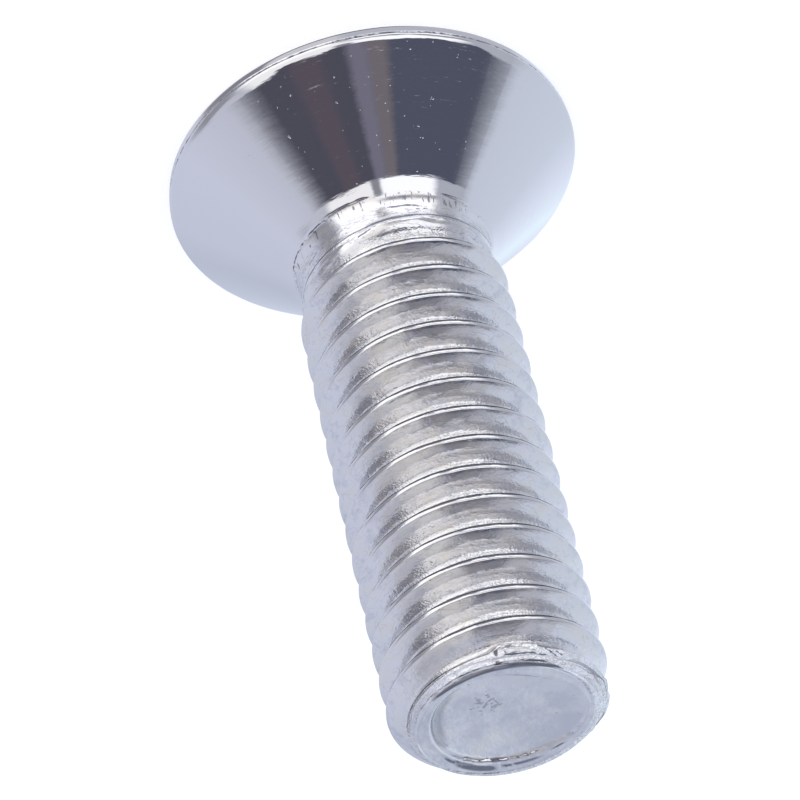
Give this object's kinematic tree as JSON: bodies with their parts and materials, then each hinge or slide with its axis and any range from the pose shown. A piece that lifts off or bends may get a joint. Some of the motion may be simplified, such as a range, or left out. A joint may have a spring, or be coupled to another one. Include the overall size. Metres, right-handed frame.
{
  "type": "countersunk socket screw",
  "caption": "Countersunk machine screw with a flat head, a hex socket, a short plain neck and a right-hand thread that runs to a bevelled, slightly cupped tip.",
  "frame": {"origin": "centre of the flat face of the head, which the screw stands on", "axes": "+Z along the screw's axis, from the head's flat face to the threaded tip; +X through a corner of the hex socket and +Y through the middle of a flat"},
  "size_m": [0.0116, 0.0116, 0.0193],
  "materials": {
    "steel": "bright zinc plated steel, mirror smooth on the head's cone, finely scuffed on the thread"
  },
  "bodies": {
    "root": {"countersunk_screw": "steel"}
  },
  "joints": []
}
